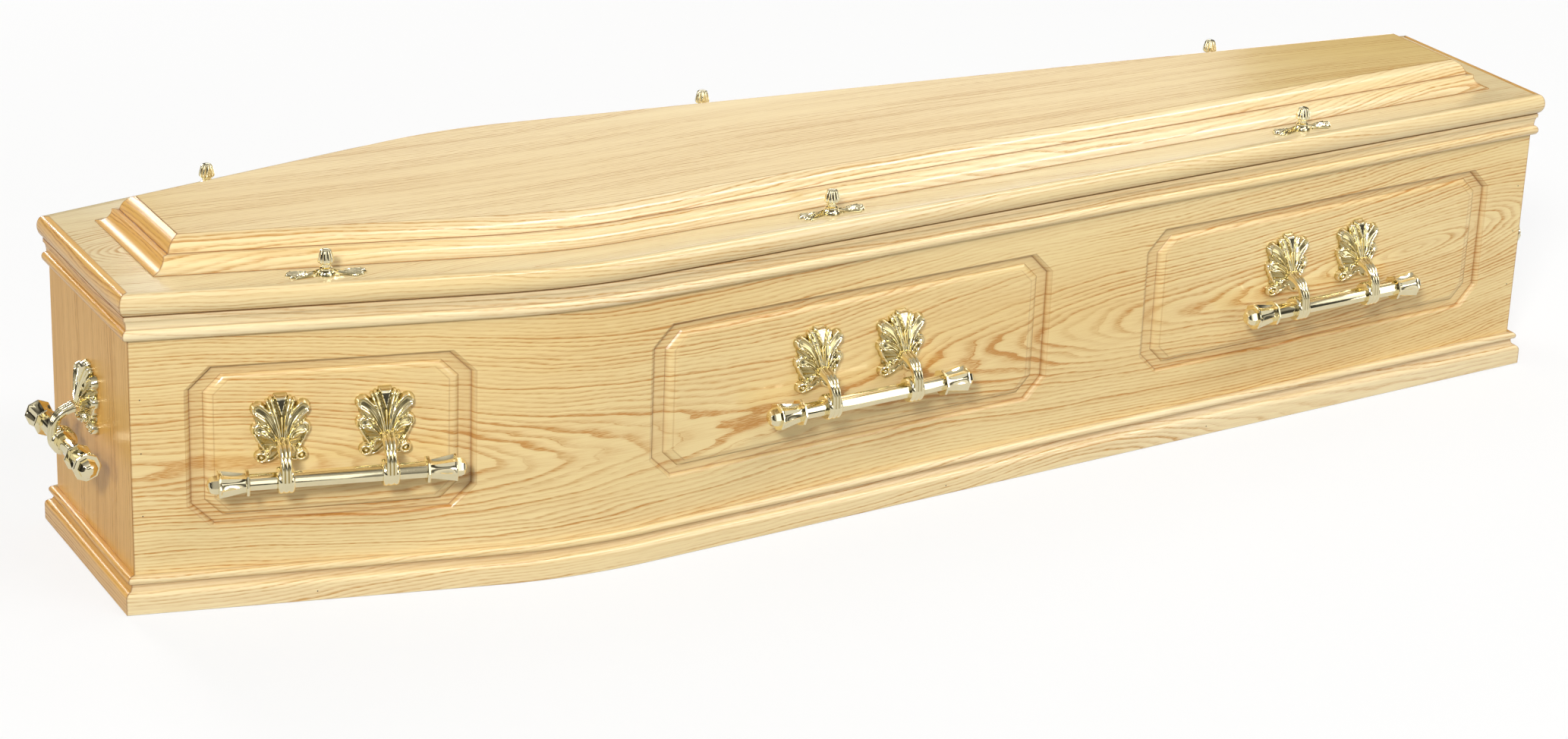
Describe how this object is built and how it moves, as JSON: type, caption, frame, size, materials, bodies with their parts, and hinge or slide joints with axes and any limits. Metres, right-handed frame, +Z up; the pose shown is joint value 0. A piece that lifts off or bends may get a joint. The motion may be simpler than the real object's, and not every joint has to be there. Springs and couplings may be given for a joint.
{
  "type": "wooden coffin",
  "caption": "Six-sided oak-veneered coffin with routed side panels, raised moulded lid, bar handles on leaf brackets and winged lid screws.",
  "frame": {"origin": "middle of the coffin's footprint, on the surface that it stands on", "axes": "+X from the head end to the foot end, +Y to the far side, +Z up"},
  "size_m": [2.105, 0.5744, 0.4284],
  "materials": {
    "oak_veneer": "satin lacquered light oak veneer, straight and cathedral grain",
    "oak_moulding": "satin lacquered oak moulding, grain along its run",
    "plated_brass": "bright pale electro-brassed plating"
  },
  "bodies": {
    "root": {"base_board": "oak_veneer", "cornice_moulding_far": "oak_moulding", "cornice_moulding_foot": "oak_moulding", "cornice_moulding_head": "oak_moulding", "cornice_moulding_near": "oak_moulding", "far_foot_handle_bar": "plated_brass", "far_foot_handle_bracket_a": "plated_brass", "far_foot_handle_bracket_b": "plated_brass", "far_foot_lid_screw_knob": "plated_brass", "far_foot_lid_screw_plate": "plated_brass", "far_head_handle_bar": "plated_brass", "far_head_handle_bracket_a": "plated_brass", "far_head_handle_bracket_b": "plated_brass", "far_head_lid_screw_knob": "plated_brass", "far_head_lid_screw_plate": "plated_brass", "far_middle_handle_bar": "plated_brass", "far_middle_handle_bracket_a": "plated_brass", "far_middle_handle_bracket_b": "plated_brass", "far_middle_lid_screw_knob": "plated_brass", "far_middle_lid_screw_plate": "plated_brass", "far_side_board": "oak_veneer", "foot_board": "oak_veneer", "foot_end_handle_bar": "plated_brass", "foot_end_handle_bracket": "plated_brass", "head_board": "oak_veneer", "head_end_handle_bar": "plated_brass", "head_end_handle_bracket": "plated_brass", "lid_board": "oak_veneer", "lid_edging_far": "oak_moulding", "lid_edging_foot": "oak_moulding", "lid_edging_head": "oak_moulding", "lid_edging_near": "oak_moulding", "near_foot_handle_bar": "plated_brass", "near_foot_handle_bracket_a": "plated_brass", "near_foot_handle_bracket_b": "plated_brass", "near_foot_lid_screw_knob": "plated_brass", "near_foot_lid_screw_plate": "plated_brass", "near_head_handle_bar": "plated_brass", "near_head_handle_bracket_a": "plated_brass", "near_head_handle_bracket_b": "plated_brass", "near_head_lid_screw_knob": "plated_brass", "near_head_lid_screw_plate": "plated_brass", "near_middle_handle_bar": "plated_brass", "near_middle_handle_bracket_a": "plated_brass", "near_middle_handle_bracket_b": "plated_brass", "near_middle_lid_screw_knob": "plated_brass", "near_middle_lid_screw_plate": "plated_brass", "near_side_board": "oak_veneer", "plinth_moulding_far": "oak_moulding", "plinth_moulding_foot": "oak_moulding", "plinth_moulding_head": "oak_moulding", "plinth_moulding_near": "oak_moulding", "raised_moulding_far": "oak_moulding", "raised_moulding_foot": "oak_moulding", "raised_moulding_head": "oak_moulding", "raised_moulding_near": "oak_moulding", "raised_top_panel": "oak_veneer"}
  },
  "joints": []
}
